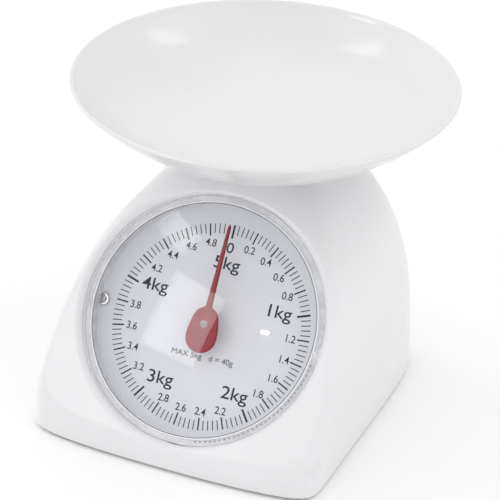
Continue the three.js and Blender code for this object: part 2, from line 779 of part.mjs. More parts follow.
add("carriage", carriage(), "nylon");
const linkSpan = LINK.x + 1.3;
const cheekSpan = LINK.x + 5.4;
for (const [name, z] of [["upper", LINK.upperZ], ["lower", LINK.lowerZ]]) {
  add(`${name}_link`, link(z), "steel");
  const front = crossPin(LINK.pin, -linkSpan, linkSpan, CARRIAGE.y, z);
  add(`${name}_carriage_pin`, front, "steel");
  const rear = crossPin(LINK.pin, -cheekSpan, cheekSpan, LINK_REAR_Y, z - LINK.drop);
  add(`${name}_frame_pin`, rear, "steel");
}
for (const side of [-1, 1]) {
  const name = side < 0 ? "spring_left" : "spring_right";
  add(name, spring(), "spring").position.set(side * SPRING.x, SPRING.y, 0);
}
add("spring_seat", springSeat(), "steel");
add("zero_wheel", zeroWheel(), "housing");
add("zero_screw", zeroScrew(), "steel");
add("main_frame", mainFrame(), "steel");
for (const side of [-1, 1]) {
  const name = `frame_screw_${side < 0 ? "left" : "right"}`;
  const mesh = add(name, screw(2.6, 1.4, 1.1, 4.6), "steel");
  mesh.rotation.x = Math.PI;
  mesh.position.set(side * FRAME.screwX, FRAME.screwY, FRAME.bottom + FRAME.sheet + GAP);
}

add("platform", platform(), "housing");
const platformScrew = add("platform_screw", screw(4, 1.5, 1.9, 18), "steel");
platformScrew.rotation.x = Math.PI;
platformScrew.position.set(0, PLATFORM.y, PLATFORM.top - 2 + GAP);
add("bowl", bowl(), "bowl");

export default scale;
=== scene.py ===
import math

import bmesh
import bpy
import numpy as np
from mathutils import Matrix, Vector


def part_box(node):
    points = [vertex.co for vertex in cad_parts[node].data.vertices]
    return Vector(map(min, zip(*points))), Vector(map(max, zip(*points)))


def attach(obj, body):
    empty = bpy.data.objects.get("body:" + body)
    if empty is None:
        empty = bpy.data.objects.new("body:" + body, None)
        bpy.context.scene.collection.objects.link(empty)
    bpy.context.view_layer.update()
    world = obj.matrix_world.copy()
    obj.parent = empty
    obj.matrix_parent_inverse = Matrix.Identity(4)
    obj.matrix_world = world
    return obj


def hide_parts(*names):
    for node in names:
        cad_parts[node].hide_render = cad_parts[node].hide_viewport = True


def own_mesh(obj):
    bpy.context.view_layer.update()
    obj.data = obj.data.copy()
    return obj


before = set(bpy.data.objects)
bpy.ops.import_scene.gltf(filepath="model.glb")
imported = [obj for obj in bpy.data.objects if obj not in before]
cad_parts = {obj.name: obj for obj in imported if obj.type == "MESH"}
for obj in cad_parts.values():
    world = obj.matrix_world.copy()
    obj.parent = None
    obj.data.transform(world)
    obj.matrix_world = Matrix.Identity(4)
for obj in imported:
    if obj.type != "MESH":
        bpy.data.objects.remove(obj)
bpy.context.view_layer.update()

MM = 0.001
TILT = math.radians(36)  # the dial leans back this far from upright
DIAL_CENTRE = Vector((0, -55.3, 58.9)) * MM
# The dial's own frame: x to the right, y up the card, z out of the card.
DIAL_FRAME = Matrix.Translation(DIAL_CENTRE) @ Matrix.Rotation(math.pi / 2 - TILT, 4, "X")
DIAL_OFFSET = 1.9  # the lens and the card are this far up the face from the tick ring's centre
FACE_HEIGHT = 17.6  # the housing's front face above the card
WELL_RADIUS = 68.0
TICK_RADIUS = 56.25
WALL = 2.5
BOWL_Y = 8.0
FLOOR_HEIGHT = 153.9  # the bowl's flat floor
HOUSING = "housing"  # the body that stays still


# ------------------------------------------------------------------------------ node helpers
class Nodes:
    """A small builder for one material's node tree."""

    def __init__(self, name):
        self.material = bpy.data.materials.new(name)
        self.material.use_nodes = True
        self.tree = self.material.node_tree
        self.tree.nodes.clear()
        self.out = self.tree.nodes.new("ShaderNodeOutputMaterial")

    def add(self, kind, **settings):
        node = self.tree.nodes.new(kind)
        for key, value in settings.items():
            setattr(node, key, value)
        return node

    def link(self, source, target):
        self.tree.links.new(source, target)

    def coordinates(self):
        return self.add("ShaderNodeTexCoord").outputs["Object"]

    def noise(self, scale, detail=3.0, roughness=0.5, vector=None):
        node = self.add("ShaderNodeTexNoise")
        node.inputs["Scale"].default_value = scale
        node.inputs["Detail"].default_value = detail
        node.inputs["Roughness"].default_value = roughness
        self.link(vector or self.coordinates(), node.inputs["Vector"])
        return node.outputs["Fac"]

    def spread(self, value, low, high):
        node = self.add("ShaderNodeMapRange")
        node.inputs["From Min"].default_value = 0.3
        node.inputs["From Max"].default_value = 0.7
        node.inputs["To Min"].default_value = low
        node.inputs["To Max"].default_value = high
        self.link(value, node.inputs["Value"])
        return node.outputs["Result"]

    def colours(self, value, stops):
        node = self.add("ShaderNodeValToRGB")
        ramp = node.color_ramp
        ramp.elements[0].position, ramp.elements[0].color = stops[0][0], (*stops[0][1], 1)
        ramp.elements[1].position, ramp.elements[1].color = stops[-1][0], (*stops[-1][1], 1)
        for place, colour in stops[1:-1]:
            ramp.elements.new(place).color = (*colour, 1)
        self.link(value, node.inputs["Fac"])
        return node.outputs["Color"]

    def bump(self, height, strength, distance, normal=None):
        node = self.add("ShaderNodeBump")
        node.inputs["Strength"].default_value = strength
        node.inputs["Distance"].default_value = distance
        self.link(height, node.inputs["Height"])
        if normal:
            self.link(normal, node.inputs["Normal"])
        return node.outputs["Normal"]

    def arithmetic(self, operation, *values):
        node = self.add("ShaderNodeMath", operation=operation)
        for socket, value in zip(node.inputs, values):
            if isinstance(value, bpy.types.NodeSocket):
                self.link(value, socket)
            else:
                socket.default_value = value
        return node.outputs["Value"]

    def blend_surface(self, amount, low, high):
        """Makes the surface a mix of two shaders: low where the amount is 0, high where it is 1."""
        mix = self.add("ShaderNodeMixShader")
        self.link(amount, mix.inputs["Fac"])
        self.link(low, mix.inputs[1])
        self.link(high, mix.inputs[2])
        self.link(mix.outputs["Shader"], self.out.inputs["Surface"])

    def principled(self, **values):
        node = self.add("ShaderNodeBsdfPrincipled")
        for key, value in values.items():
            socket = node.inputs[key]
            if isinstance(value, bpy.types.NodeSocket):
                self.link(value, socket)
            else:
                socket.default_value = value
        self.link(node.outputs["BSDF"], self.out.inputs["Surface"])
        return node


def tint(colour, amount):
    """The colour made lighter or darker."""
    return tuple(min(1.0, c * amount) for c in colour)


def moulded_plastic(name, colour, roughness, grain=0.04, coat=0.0, scatter=0.0, shine=0.5):
    """Injection-moulded plastic: slight flow mottling, a fine orange-peel bump, uneven gloss."""
    n = Nodes(name)
    flow = n.noise(26, 4)
    base = n.colours(flow, [(0.3, tint(colour, 0.985)), (0.7, tint(colour, 1.01))])
    gloss = n.spread(n.noise(180, 3), roughness * 0.85, roughness * 1.2)
    peel = n.bump(n.noise(420, 2), grain, 0.0006)
    fine = n.bump(n.noise(2600, 2), grain * 0.6, 0.00008, peel)
    n.principled(
        **{"Base Color": base, "Roughness": gloss, "Normal": fine, "Coat Weight": coat,
           "Coat Roughness": 0.06, "Subsurface Weight": scatter, "Subsurface Scale": 0.004,
           "Specular IOR Level": shine, "IOR": 1.5}
    )
    return n.material


def printed_card(name):
    """Smooth card with the faint tooth of a coated sheet."""
    n = Nodes(name)
    base = n.colours(n.noise(60, 5), [(0.3, (0.735, 0.745, 0.79)), (0.7, (0.755, 0.765, 0.805))])
    tooth = n.bump(n.noise(1800, 3), 0.08, 0.0001)
    n.principled(**{"Base Color": base, "Roughness": 0.5, "Normal": tooth})
    return n.material


def dial_ink(name):
    """Blue-black printing ink, a little uneven."""
    n = Nodes(name)
    base = n.colours(n.noise(900, 3), [(0.3, (0.012, 0.016, 0.032)), (0.7, (0.03, 0.036, 0.058))])
    n.principled(**{"Base Color": base, "Roughness": 0.45, "Specular IOR Level": 0.1})
    return n.material


def clear_acrylic(name):
    """Thin clear acrylic: a mirror-like film by angle over an all but colourless pane.

    On the pane's back faces the index is inverted, so that a ray leaving the pane is mirrored as
    little as one entering it. The pane casts next to no shadow.
    """
    index = 1.26
    n = Nodes(name)
    film = n.add("ShaderNodeBsdfGlossy")
    film.inputs["Roughness"].default_value = 0.03
    film.inputs["Color"].default_value = (0.99, 0.99, 1.0, 1)
    clear = n.add("ShaderNodeBsdfTransparent")
    tinted = n.colours(n.noise(8, 2), [(0.3, (0.986, 0.988, 0.99)), (0.7, (0.992, 0.993, 0.995))])
    n.link(tinted, clear.inputs["Color"])
    side = n.add("ShaderNodeNewGeometry")
    ratio = n.add("ShaderNodeMapRange")
    ratio.inputs["To Min"].default_value = index
    ratio.inputs["To Max"].default_value = 1 / index
    n.link(side.outputs["Backfacing"], ratio.inputs["Value"])
    fresnel = n.add("ShaderNodeFresnel")
    n.link(ratio.outputs["Result"], fresnel.inputs["IOR"])
    path = n.add("ShaderNodeLightPath")
    unshadowed = n.arithmetic("SUBTRACT", 1.0, path.outputs["Is Shadow Ray"])
    amount = n.arithmetic("MULTIPLY", fresnel.outputs["Fac"], unshadowed)
    n.blend_surface(amount, clear.outputs["BSDF"], film.outputs["BSDF"])
    return n.material


def cloudy_acrylic(name):
    """The lens's rim: acrylic that scatters a little, with moulding streaks.

    Light for the card and the well passes through it, so that it doesn't darken them.
    """
    n = Nodes(name)
    clear = n.add("ShaderNodeBsdfTransparent")
    clear.inputs["Color"].default_value = (0.95, 0.95, 0.96, 1)
    streaks = n.noise(120, 3)
    body = n.principled(
        **{"Base Color": n.colours(streaks, [(0.3, (0.66, 0.67, 0.69)), (0.7, (0.8, 0.8, 0.82))]),
           "Roughness": 0.15, "IOR": 1.49}
    )
    path = n.add("ShaderNodeLightPath")
    lighting = n.arithmetic("MAXIMUM", path.outputs["Is Shadow Ray"], path.outputs["Is Diffuse Ray"])
    unlit = n.arithmetic("SUBTRACT", 1.0, lighting)
    amount = n.arithmetic("MULTIPLY", n.spread(streaks, 0.42, 0.58), unlit)
    n.blend_surface(amount, clear.outputs["BSDF"], body.outputs["BSDF"])
    return n.material


def metal(name, colour, roughness, stretch=(1, 1, 1), stain=0.9):
    """Bare or plated metal with stretched brushing marks and slightly uneven colour."""
    n = Nodes(name)
    mapping = n.add("ShaderNodeMapping")
    mapping.inputs["Scale"].default_value = stretch
    n.link(n.coordinates(), mapping.inputs["Vector"])
    brushed = n.noise(900, 4, 0.6, mapping.outputs["Vector"])
    base = n.colours(n.noise(70, 5), [(0.3, tint(colour, stain)), (0.7, colour)])
    gloss = n.spread(brushed, roughness * 0.75, roughness * 1.35)
    n.principled(
        **{"Base Color": base, "Metallic": 1.0, "Roughness": gloss,
           "Normal": n.bump(brushed, 0.05, 0.0002)}
    )
    return n.material


def galvanised(name):
    """Zinc-coated sheet with pale crystals."""
    n = Nodes(name)
    cells = n.add("ShaderNodeTexVoronoi")
    cells.inputs["Scale"].default_value = 190
    n.link(n.coordinates(), cells.inputs["Vector"])
    base = n.colours(cells.outputs["Color"], [(0.1, (0.5, 0.51, 0.53)), (0.9, (0.68, 0.69, 0.7))])
    gloss = n.spread(n.noise(300, 4), 0.28, 0.48)
    n.principled(**{"Base Color": base, "Metallic": 1.0, "Roughness": gloss,
                    "Normal": n.bump(n.noise(1200, 3), 0.05, 0.0001)})
    return n.material


def foot_rubber(name):
    """Matt grey rubber with a rough skin."""
    n = Nodes(name)
    base = n.colours(n.noise(500, 5), [(0.3, (0.19, 0.19, 0.19)), (0.7, (0.25, 0.25, 0.248))])
    n.principled(**{"Base Color": base, "Roughness": 0.85,
                    "Normal": n.bump(n.noise(1500, 4), 0.3, 0.0003)})
    return n.material


def studio_floor(name):
    """Pale paper, all but even."""
    n = Nodes(name)
    base = n.colours(n.noise(3, 3), [(0.3, (0.93, 0.93, 0.93)), (0.7, (0.95, 0.95, 0.95))])
    n.principled(**{"Base Color": base, "Roughness": 0.75, "Specular IOR Level": 0.15})
    return n.material


MAT = {
    "housing": moulded_plastic("housing_plastic", (0.79, 0.79, 0.805), 0.22, coat=0.03, shine=0.16),
    "bowl": moulded_plastic("bowl_plastic", (0.752, 0.752, 0.75), 0.2, coat=0.25),
    "inside": moulded_plastic("shell_inside_plastic", (0.7, 0.71, 0.74), 0.45, 0.1),
    "nylon": moulded_plastic("carriage_nylon", (0.67, 0.67, 0.62), 0.4, 0.12, scatter=0.05),
    "pointer": moulded_plastic("pointer_plastic", (0.27, 0.01, 0.024), 0.3, 0.05, shine=0.2),
    "card": printed_card("dial_card"),
    "ink": dial_ink("dial_ink"),
    "lens": clear_acrylic("lens_acrylic"),
    "lens_rim": cloudy_acrylic("lens_rim_acrylic"),
    # Dark grey: painted shade, for the dark ring inside the dome's edge and the dark dots along the
    # rim.
    "rib": moulded_plastic("painted_dark_acrylic", (0.2, 0.2, 0.21), 0.25),
    # Near-white: a painted highlight along the lens dome's edge.
    "highlight_bead": moulded_plastic("painted_highlight_acrylic", (0.93, 0.93, 0.95), 0.12),
    # Much lighter than the housing's plastic: painted light that cancels the shade in the dial's
    # well.
    "well": moulded_plastic("well_plastic_painted_light", (0.93, 0.93, 0.95), 0.3),
    "zinc": metal("zinc_plate", (0.66, 0.66, 0.67), 0.24),
    "pin": metal("ground_pin_steel", (0.62, 0.62, 0.63), 0.22, (0.05, 1, 1)),
    "spring": metal("spring_wire_steel", (0.4, 0.41, 0.43), 0.3, (1, 1, 0.3), stain=0.75),
    "brass": metal("arbor_brass", (0.72, 0.5, 0.2), 0.25, stain=0.85),
    "arbor_end": metal("arbor_end_steel", (0.3, 0.26, 0.26), 0.55),
    "sheet": galvanised("galvanised_sheet"),
    "rubber": foot_rubber("foot_rubber"),
    "floor": studio_floor("studio_floor"),
}


# ------------------------------------------------------------------------------ mesh helpers
def make(name, verts, faces, material, smooth=True, transform=None, body=HOUSING):
    """A mesh object from points in millimetres."""
    mesh = bpy.data.meshes.new(name)
    mesh.from_pydata([tuple(c * MM for c in v) for v in verts], [], faces)
    if transform:
        mesh.transform(transform)
    mesh.validate()
    mesh.update()
    mesh.materials.append(material)
    mesh.polygons.foreach_set("use_smooth", [smooth] * len(mesh.polygons))
    obj = bpy.data.objects.new(name, mesh)
    bpy.context.scene.collection.objects.link(obj)
    if body:
        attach(obj, body)
    return obj


def ring_faces(rows, columns, closed_rows=False):
    """Faces between rows of points that each run round the piece."""
    faces = []
    for row in range(rows if closed_rows else rows - 1):
        this, following = row * columns, (row + 1) % rows * columns
        for j in range(columns):
            k = (j + 1) % columns
            faces.append((this + j, this + k, following + k, following + j))
    return faces


def lathe(name, profile, material, segments=128, centre=(0, 0), transform=None, body=HOUSING,
          crease=40):
    """A solid of revolution about Z.

    The outline starts and ends on the axis or closes on itself. Its points on the axis become
    single vertices.
    """
    verts, rows, faces = [], [], []
    for r, z in profile:
        if r < 1e-6:
            rows.append([len(verts)])
            verts.append((centre[0], centre[1], z))
            continue
        rows.append(list(range(len(verts), len(verts) + segments)))
        for k in range(segments):
            a = 2 * math.pi * k / segments
            verts.append((centre[0] + r * math.cos(a), centre[1] + r * math.sin(a), z))
    for low, high in zip(rows, rows[1:] + rows[:1]):
        if len(low) == 1 and len(high) == 1:
            continue
        for j in range(segments):
            k = (j + 1) % segments
            if len(low) == 1:
                faces.append((low[0], high[k], high[j]))
            elif len(high) == 1:
                faces.append((low[j], low[k], high[0]))
            else:
                faces.append((low[j], low[k], high[k], high[j]))
    obj = make(name, verts, faces, material, True, transform, body)
    recalculate(obj)
    sharpen(obj, crease)
    return obj


def dial_lathe(name, profile, material, segments, crease=40):
    """A turned piece about the middle of the lens and the card."""
    return lathe(name, profile, material, segments, (0, DIAL_OFFSET), DIAL_FRAME, crease=crease)


def recalculate(obj):
    """Turns all faces outwards."""
    bm = bmesh.new()
    bm.from_mesh(obj.data)
    bmesh.ops.recalc_face_normals(bm, faces=bm.faces)
    bm.to_mesh(obj.data)
    bm.free()


def sharpen(obj, degrees):
    """Shades edges steeper than this angle as sharp, and the others as smooth."""
    obj.data.set_sharp_from_angle(angle=math.radians(degrees))


def arc(cx, cy, radius, start, end, steps):
    """Points on an arc, angles in degrees."""
    return [
        (cx + radius * math.cos(math.radians(start + (end - start) * k / steps)),
         cy + radius * math.sin(math.radians(start + (end - start) * k / steps)))
        for k in range(steps + 1)
    ]


def cut_away(obj, tool):
    """Cuts the tool's shape out of the piece, and deletes the tool."""
    modifier = obj.modifiers.new("cut", "BOOLEAN")
    modifier.operation = "DIFFERENCE"
    modifier.solver = "EXACT"
    modifier.object = tool
    depsgraph = bpy.context.evaluated_depsgraph_get()
    mesh = bpy.data.meshes.new_from_object(obj.evaluated_get(depsgraph))
    obj.modifiers.clear()
    obj.data = mesh
    bpy.data.objects.remove(tool)


def box_tool(low, high):
    corners = [(x, y, z) for z in (low[2], high[2]) for y in (low[1], high[1])
               for x in (low[0], high[0])]
    faces = [(0, 2, 3, 1), (4, 5, 7, 6), (0, 1, 5, 4), (2, 6, 7, 3), (0, 4, 6, 2), (1, 3, 7, 5)]
    return make("box_tool", corners, faces, MAT["housing"], False, None, None)


def trim_below(obj, z):
    """Cuts off what is lower than z and closes the cut."""
    bm = bmesh.new()
    bm.from_mesh(obj.data)
    geometry = bm.verts[:] + bm.edges[:] + bm.faces[:]
    bmesh.ops.bisect_plane(bm, geom=geometry, plane_co=(0, 0, z * MM), plane_no=(0, 0, 1),
                           clear_inner=True)
    bmesh.ops.holes_fill(bm, edges=[e for e in bm.edges if e.is_boundary], sides=0)
    bm.to_mesh(obj.data)
    bm.free()


def dial_blocks(name, blocks, low, high, material):
    """One mesh of small blocks on the dial, each (centre, angle, (near, far), width).

    A block lies between the distances near and far from its centre, in the angle's direction.
    """
    verts, faces = [], []
    sides = ((0, 1, 2, 3), (7, 6, 5, 4), (0, 4, 5, 1), (1, 5, 6, 2), (2, 6, 7, 3), (3, 7, 4, 0))
    for centre, angle, (near, far), width in blocks:
        along = np.array([math.cos(angle), math.sin(angle)])
        across = np.array([-along[1], along[0]])
        corners = [centre + along * r + across * w for r, w in
                   ((near, -width / 2), (far, -width / 2), (far, width / 2), (near, width / 2))]
        start = len(verts)
        verts += [(*c, low) for c in corners] + [(*c, high) for c in corners]
        faces += [tuple(start + i for i in side) for side in sides]
    obj = make(name, verts, faces, material, False, DIAL_FRAME)
    recalculate(obj)
    return obj


# ------------------------------------------------------------------------------ housing
# The housing is where two solids meet: upright superellipse sections that shrink towards the top,
# and everything behind the dial's sloping face. Each function of distance below is negative inside.
BOTTOM, TOP, CROWN = 1.4, 137.5, 155.3  # the side curves would close at the crown
HALF_WIDTH, FRONT, MIDDLE, BACK = 83.2, -113.0, 1.0, 72.0
REAR_POWER, FRONT_POWER_X = 4.8, 2.1  # how square the corners are, as superellipse exponents
BOTTOM_EDGE, FACE_EDGE, TOP_EDGE = 1.3, 4.6, 5.0  # radii of the rounded edges
AXIS_Y = 8.0  # the rays that find the surface start on this upright line
FAN_HEIGHT = 126.0  # from here the rays fan out upwards
NORMAL = np.array([0.0, -math.cos(TILT), math.sin(TILT)])


def section(z):
    """Share of the height, half width, front and back of the section at height z."""
    share = np.clip((z - BOTTOM) / (CROWN - BOTTOM), 0, 0.999)
    narrowing = 1 - share**3.26
    half = HALF_WIDTH * narrowing**0.843
    front = MIDDLE + (FRONT - MIDDLE) * narrowing**1.81
    back = MIDDLE + (BACK - MIDDLE) * (1 - share**2.05) ** 0.3
    return share, half, front, back


def front_power_y(share):
    """The front corners go from near square at the base to round at the top."""
    return 3.15 + 20.4 * (1 - share) ** 0.88


def side_function(x, y, z, rear):
    """Superellipse of the section at z: 1 on the surface; and its local exponent."""
    share, half, front, back = section(z)
    middle, depth = (front + back) / 2, (back - front) / 2
    n = np.where(rear, REAR_POWER, FRONT_POWER_X)
    m = np.where(rear, REAR_POWER, front_power_y(share))
    across = (np.abs(x) / half) ** n
    along = (np.abs(y - middle) / depth) ** m
    total = across + along
    return total, (n * across + m * along) / np.maximum(total, 1e-12)


def side_distance(x, y, z):
    """About how far a point is from the sides, from the superellipse and its slope."""
    h = 0.01
    _, _, front, back = section(z)
    rear = y > (front + back) / 2
    total, power = side_function(x, y, z, rear)
    gx = (side_function(x + h, y, z, rear)[0] - side_function(x - h, y, z, rear)[0]) / (2 * h)
    gy = (side_function(x, y + h, z, rear)[0] - side_function(x, y - h, z, rear)[0]) / (2 * h)
    gz = (side_function(x, y, z + h, rear)[0] - side_function(x, y, z - h, rear)[0]) / (2 * h)
    slope = np.maximum(np.sqrt(gx * gx + gy * gy + gz * gz), 1e-9)
    total = np.maximum(total, 1e-9)
    return power * total * (1 - total ** (-1 / power)) / slope


def face_distance(y, z):
    """How far a point is in front of the dial's face."""
    return NORMAL[1] * (y - DIAL_CENTRE.y / MM) + NORMAL[2] * (z - DIAL_CENTRE.z / MM) - FACE_HEIGHT


def blend(a, b, radius):
    """The intersection of two solids, with a rounded edge."""
    u, v = np.maximum(a + radius, 0), np.maximum(b + radius, 0)
    return np.minimum(np.maximum(a, b), -radius) + np.hypot(u, v)


def body_distance(x, y, z):
    wedge = blend(side_distance(x, y, z), face_distance(y, z), FACE_EDGE)
    return blend(wedge, z - TOP, TOP_EDGE)


def crease_angle(z):
    """Angle, seen from the axis, at which the front face meets the right side at height z."""
    share, half, front, back = section(z)
    face_y = DIAL_CENTRE.y / MM - (FACE_HEIGHT - NORMAL[2] * (z - DIAL_CENTRE.z / MM)) / -NORMAL[1]
    middle, depth = (front + back) / 2, (back - front) / 2
    along = min(abs(face_y - middle) / depth, 0.999)
    x = half * (1 - along ** front_power_y(share)) ** (1 / FRONT_POWER_X)
    return math.atan2(face_y - AXIS_Y, x)


def column_angles(z):
    """Angles of one row's points, close together where the face meets the sides."""
    lowest, highest = 16.0, 120.0  # past these heights the columns no longer follow the corner
    corner = crease_angle(min(max(z, lowest), highest))
    front_half, side_half = 56, 78
    angles = []
    for k in range(-front_half, front_half):
        u = math.sin(math.pi / 2 * k / front_half)
        angles.append(-math.pi / 2 + u * (corner + math.pi / 2))
    for k in range(side_half):
        u = 1 - math.cos(math.pi / 2 * k / side_half)
        angles.append(corner + u * (math.pi / 2 - corner))
    for k in range(side_half, 0, -1):
        u = 1 - math.cos(math.pi / 2 * k / side_half)
        angles.append(math.pi - (corner + u * (math.pi / 2 - corner)))
    return np.array(angles)


def row_plan():
    """(height of the ray's start, elevation of the ray) for each row, from the base upwards."""
    heights = list(np.arange(2.4, 18, 0.8)) + list(np.arange(18, 118, 2.2))
    heights += list(np.arange(118, 126, 0.9))
    turns = list(np.arange(0.4, 27, 0.8)) + list(np.arange(28, 89, 7.5))
    return [(z, 0.0) for z in heights] + [(FAN_HEIGHT, math.radians(e)) for e in turns]


def surface_row(z0, elevation, inset=0.0, corner_height=None):
    """Points where one row of rays leaves the housing, drawn in by the inset.

    The columns follow the corner at corner_height, or at the rays' own height.
    """
    angles = column_angles(z0 if corner_height is None else corner_height)
    dx = np.cos(angles) * math.cos(elevation)
    dy = np.sin(angles) * math.cos(elevation)
    dz = np.full_like(angles, math.sin(elevation))
    low, high = np.zeros_like(angles), np.full_like(angles, 190.0)
    for _ in range(36):
        mid = (low + high) / 2
        z = np.minimum(z0 + dz * mid, CROWN - 1)
        inside = body_distance(dx * mid, AXIS_Y + dy * mid, z) < -inset
        low, high = np.where(inside, mid, low), np.where(inside, high, mid)
    return np.stack([dx * low, AXIS_Y + dy * low, z0 + dz * low], axis=1)


def housing_skin():
    """Points and faces of the shell before the openings are cut: the inside, then the outside."""
    plan = row_plan()
    rows, edge_steps = [], 5
    for k in range(edge_steps):
        a = math.pi / 2 * k / edge_steps
        height = BOTTOM + BOTTOM_EDGE * (1 - math.cos(a))
        rows.append(surface_row(height, 0, BOTTOM_EDGE * (1 - math.sin(a)), plan[0][0]))
    rows += [surface_row(z, elevation) for z, elevation in plan]
    inner = [surface_row(z, 0, WALL) for z in (1.0, 8, 20, 45, 70, 90, 105, 118)]
    inner += [surface_row(FAN_HEIGHT, math.radians(elevation), WALL)
              for elevation in (4, 8, 11, 13.5, 16, 22, 35, 60)]
    columns = len(rows[0])
    verts = [tuple(v) for row in inner[::-1] + rows for v in row]
    faces = ring_faces(len(inner) + len(rows), columns)
    top_inner, top_outer = len(verts), len(verts) + 1
    last = len(verts) - columns
    verts += [(0, AXIS_Y, TOP - WALL), (0, AXIS_Y, TOP)]
    for j in range(columns):
        k = (j + 1) % columns
        faces.append((k, j, top_inner))
        faces.append((last + j, last + k, top_outer))
    return verts, faces


def housing_shell():
    """The housing: a moulded shell, open underneath, with a pocket for the dial."""
    shell = make("housing_shell", *housing_skin(), MAT["housing"])
    recalculate(shell)

    lip = 4.2  # the dial's opening flares into the face
    flare = arc(WELL_RADIUS + lip, FACE_HEIGHT - lip, lip, 180, 94, 16)
    opening = (
        [(0, -30), (WELL_RADIUS, -30), (WELL_RADIUS, 6)] + flare
        + [(WELL_RADIUS + lip, FACE_HEIGHT + 3), (0, FACE_HEIGHT + 3)]
    )
    cut_away(shell, lathe("opening_tool", opening, MAT["housing"], 200, (0, DIAL_OFFSET),
                          DIAL_FRAME, None))
    cut_away(shell, box_tool((-16, 60, 18.5), (16, 80, 28.5)))  # the thumbwheel's slot
    post_hole = [(0, 120), (17, 120), (17, 150), (0, 150)]
    cut_away(shell, lathe("hole_tool", post_hole, MAT["housing"], 64, (0, BOWL_Y), None, None))
    sharpen(shell, 35)
    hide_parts("body_shell")


def dial_well():
    """The sleeve behind the opening and the ledge that the card and movement screw to."""
    bore = WELL_RADIUS + 0.02
    outline = [(57.6, -3.3), (69.8, -3.3), (69.8, 13.0), (69.4, 14.2), (bore, 14.2),
               (bore, -1.3), (57.6, -1.3)]
    # The well's colour is painted light, to cancel the shade that falls in it.
    well = dial_lathe("dial_well", outline, MAT["well"], 160)
    trim_below(well, 5.2)  # clear of the base plate


# ------------------------------------------------------------------------------ dial
CAPACITY, STEPS_PER_KILO = 5, 25  # one tick for each 40 g
PHASE = math.radians(-1.69)  # the card is turned this little in its seat
SMALL, LARGE = 4.1, 6.8  # heights of the digits
LABEL_OVAL = (45.2, 46.1)  # the small numbers stand on an oval, because they are wider than high
DIGIT = 0.7  # height of a digit in the built-in font, as a share of its size


def dial_card():
    profile = [(2.2, -1.0), (66.8, -1.0), (67.0, -0.85), (67.0, -0.12), (66.88, 0.0), (2.2, 0.0)]
    card = dial_lathe("dial_card_disc", profile, MAT["card"], 160)
    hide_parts("dial_plate")


def tick_marks():
    """Ticks clockwise from the top: longest at the kilos, then at each 0.2 kg."""
    count = CAPACITY * STEPS_PER_KILO
    blocks = []
    for k in range(count):
        inner, width = 0.905, 0.5
        if k % 5 == 0:
            inner, width = 0.88, 0.8
        if k % STEPS_PER_KILO == 0:
            inner, width = 0.866, 1.1
        angle = math.pi / 2 - PHASE - 2 * math.pi * k / count
        blocks.append((np.zeros(2), angle, (inner * TICK_RADIUS, TICK_RADIUS), width))
    ticks = dial_blocks("dial_ticks", blocks, 0.01, 0.06, MAT["ink"])


def lettering(text, height, x, y, stretch=1.0, weight=0.0):
    """Flat printed text centred on a point of the card. The height is that of its digits."""
    curve = bpy.data.curves.new("lettering", "FONT")
    curve.body = text
    curve.size = height / DIGIT * MM
    curve.align_x = "CENTER"
    curve.extrude = 0.03 * MM
    curve.offset = weight * MM
    curve.resolution_u = 6
    obj = bpy.data.objects.new("lettering", curve)
    bpy.context.scene.collection.objects.link(obj)
    middle = Matrix.Translation((x * MM, (y - height / 2) * MM, 0.035 * MM))
    place = Matrix.Rotation(-PHASE, 4, "Z") @ middle @ Matrix.Diagonal((stretch, 1, 1, 1))
    depsgraph = bpy.context.evaluated_depsgraph_get()
    mesh = bpy.data.meshes.new_from_object(obj.evaluated_get(depsgraph))
    bpy.data.objects.remove(obj)
    mesh.transform(DIAL_FRAME @ place)
    return mesh


def joined(name, meshes, material):
    """One piece made of several meshes, riding on the housing."""
    bm = bmesh.new()
    for mesh in meshes:
        bm.from_mesh(mesh)
    result = bpy.data.meshes.new(name)
    bm.to_mesh(result)
    bm.free()
    result.materials.append(material)
    for polygon in result.polygons:
        polygon.material_index = 0
    obj = bpy.data.objects.new(name, result)
    bpy.context.scene.collection.objects.link(obj)
    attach(obj, HOUSING)
    return obj


def dial_numbers():
    """The small numbers at each 0.2 kg, the large ones at each kilo and the line in the middle."""
    pieces = []
    for k in range(1, 5 * CAPACITY):
        if k % 5 == 0:
            continue
        a = 2 * math.pi * k / (5 * CAPACITY)
        x, y = 0.3 + LABEL_OVAL[0] * math.sin(a), LABEL_OVAL[1] * math.cos(a)
        pieces.append(lettering(f"{k / 5:.1f}", SMALL, x, y, 0.9, 0.04))
    kilos = (("0", 5.6, 0.4, 43.7), ("5kg", LARGE, 0.6, 35.2), ("1kg", LARGE, 35.6, 15.6),
             ("2kg", LARGE, 22.4, -32.6), ("3kg", LARGE, -21.0, -32.7),
             ("4kg", LARGE, -36.5, 15.9))
    for text, height, x, y in kilos:
        pieces.append(lettering(text, height, x, y, 1.13, 0.06))
    for text, x in (("MAX 5kg", -9.6), ("d = 40g", 10.4)):
        pieces.append(lettering(text, 3.1, x, -16.9, 1.05))
    numbers = joined("dial_numbers", pieces, MAT["ink"])


def dome(r, edge_radius, edge_height, apex):
    """Height at a radius of a shallow dome with its apex over the middle."""
    sag = apex - edge_height
    curve = (edge_radius**2 + sag**2) / (2 * sag)
    return apex - curve + math.sqrt(curve**2 - r * r)


# ------------------------------------------------------------------------------ lens
LENS_SIDES = 192
LENS_EDGE, LENS_EDGE_TOP, LENS_EDGE_LOW = 63.9, 14.0, 11.8
LENS_APEX, LENS_THICKNESS = 22.0, 1.8
RIM_OUTER, RIM_INNER, RIM_FOOT, RIM_TOP = 67.6, 64.2, 3.6, 12.7


